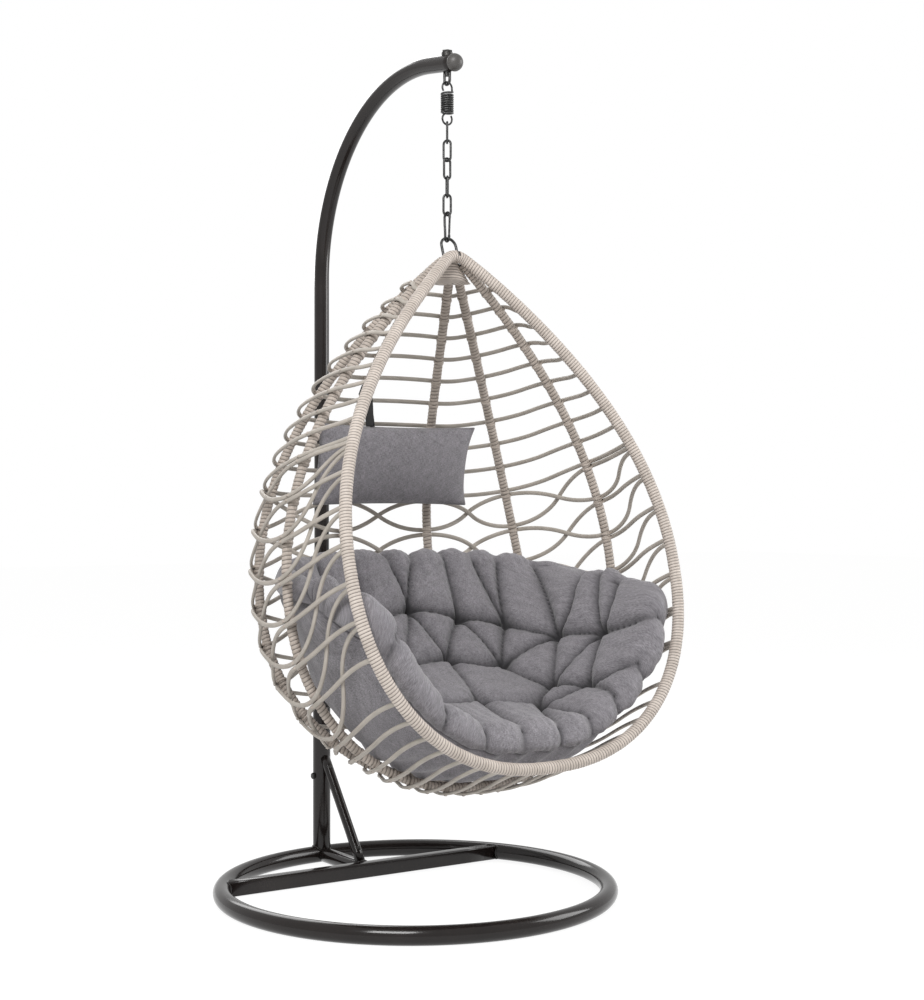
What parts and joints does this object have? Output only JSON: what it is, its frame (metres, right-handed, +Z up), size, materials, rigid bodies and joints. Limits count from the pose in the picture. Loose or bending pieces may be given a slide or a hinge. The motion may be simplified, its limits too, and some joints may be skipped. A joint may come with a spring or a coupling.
{
  "type": "hanging egg chair",
  "caption": "Teardrop hanging chair woven in rattan strands, with tufted seat cushion and head pillow, hung by a chain and spring from a curved steel stand.",
  "frame": {"origin": "on the floor, in the middle of the base ring", "axes": "+Z up, the chair faces -Y, and +X is to the right of someone who looks along +Y"},
  "size_m": [0.9499, 1.0014, 1.9688],
  "materials": {
    "stand_paint": "gloss",
    "steel_hardware": "dark zinc",
    "cap_plastic": "satin",
    "frame_steel": "satin",
    "wrap_rattan": "fine wrapped",
    "weave_rattan": "smooth",
    "cushion_fabric": "melange weave",
    "strap_webbing": "webbing"
  },
  "bodies": {
    "stand": {"base_ring": "stand_paint", "cross_bar": "stand_paint", "foot_tube": "stand_paint", "post_sleeve": "stand_paint", "brace_tube": "stand_paint", "brace_bolt_lower": "steel_hardware", "brace_bolt_upper": "steel_hardware", "arm_tube": "stand_paint", "arm_end_cap": "cap_plastic", "lock_bolt": "steel_hardware", "lock_nut": "steel_hardware", "eye_bolt": "steel_hardware", "eye_washer": "steel_hardware", "eye_nut": "steel_hardware"},
    "spring": {"suspension_spring": "steel_hardware"},
    "link_1": {"chain_link_1": "steel_hardware"},
    "link_2": {"chain_link_2": "steel_hardware"},
    "link_3": {"chain_link_3": "steel_hardware"},
    "link_4": {"chain_link_4": "steel_hardware"},
    "link_5": {"chain_link_5": "steel_hardware"},
    "snap_hook": {"snap_hook_body": "steel_hardware", "snap_hook_pin": "steel_hardware"},
    "gate": {"snap_hook_gate": "steel_hardware"},
    "basket": {"basket_bail": "steel_hardware", "rim_tube": "frame_steel", "side_hoop_tube": "frame_steel", "rear_hoop_tube": "frame_steel", "back_rib_left_tube": "frame_steel", "back_rib_right_tube": "frame_steel", "apex_knot": "wrap_rattan", "rim_wrap": "wrap_rattan", "side_hoop_wrap": "wrap_rattan", "rear_hoop_wrap": "wrap_rattan", "back_rib_left_wrap": "wrap_rattan", "back_rib_right_wrap": "wrap_rattan", "front_weave_left": "weave_rattan", "side_weave_left": "weave_rattan", "rear_weave_left": "weave_rattan", "back_weave": "weave_rattan", "rear_weave_right": "weave_rattan", "side_weave_right": "weave_rattan", "front_weave_right": "weave_rattan", "floor_weave_front": "weave_rattan", "floor_weave_rear": "weave_rattan", "seat_cushion": "cushion_fabric", "head_pillow": "cushion_fabric", "pillow_strap": "strap_webbing"}
  },
  "joints": [
    {"name": "swing_fore_aft", "type": "hinge", "parent": "stand", "child": "spring", "pos_m": [0, -0.133, 1.89217], "axis": [1, 0, 0], "range_deg": [-14, 5]},
    {"name": "spring_stretch", "type": "slide", "parent": "spring", "child": "link_1", "axis": [0, 0, -1], "range_m": [0, 0.03], "stiffness_N_per_m": 20000, "springref_m": -0.025, "deforming": ["suspension_spring"]},
    {"name": "swing_side", "type": "hinge", "parent": "link_1", "child": "link_2", "pos_m": [0, -0.133, 1.75527], "axis": [0, 1, 0], "range_deg": [-8, 8]},
    {"name": "chain_twist_1", "type": "hinge", "parent": "link_2", "child": "link_3", "pos_m": [0, -0.133, 1.71077], "axis": [0, 0, 1], "range_deg": [-6, 6]},
    {"name": "chain_twist_2", "type": "hinge", "parent": "link_3", "child": "link_4", "pos_m": [0, -0.133, 1.66927], "axis": [0, 0, 1], "range_deg": [-6, 6]},
    {"name": "chain_twist_3", "type": "hinge", "parent": "link_4", "child": "link_5", "pos_m": [0, -0.133, 1.62777], "axis": [0, 0, 1], "range_deg": [-6, 6]},
    {"name": "chain_twist_4", "type": "hinge", "parent": "link_5", "child": "snap_hook", "pos_m": [0, -0.133, 1.58627], "axis": [0, 0, 1], "range_deg": [-6, 6]},
    {"name": "basket_rock", "type": "hinge", "parent": "snap_hook", "child": "basket", "pos_m": [0, -0.133, 1.53327], "axis": [1, 0, 0], "range_deg": [-4, 4]},
    {"name": "gate_open", "type": "hinge", "parent": "snap_hook", "child": "gate", "pos_m": [0, -0.141, 1.53752], "axis": [-1, 0, 0], "range_deg": [0, 18], "stiffness_Nm_per_rad": 0.1, "springref_deg": -17.19}
  ]
}
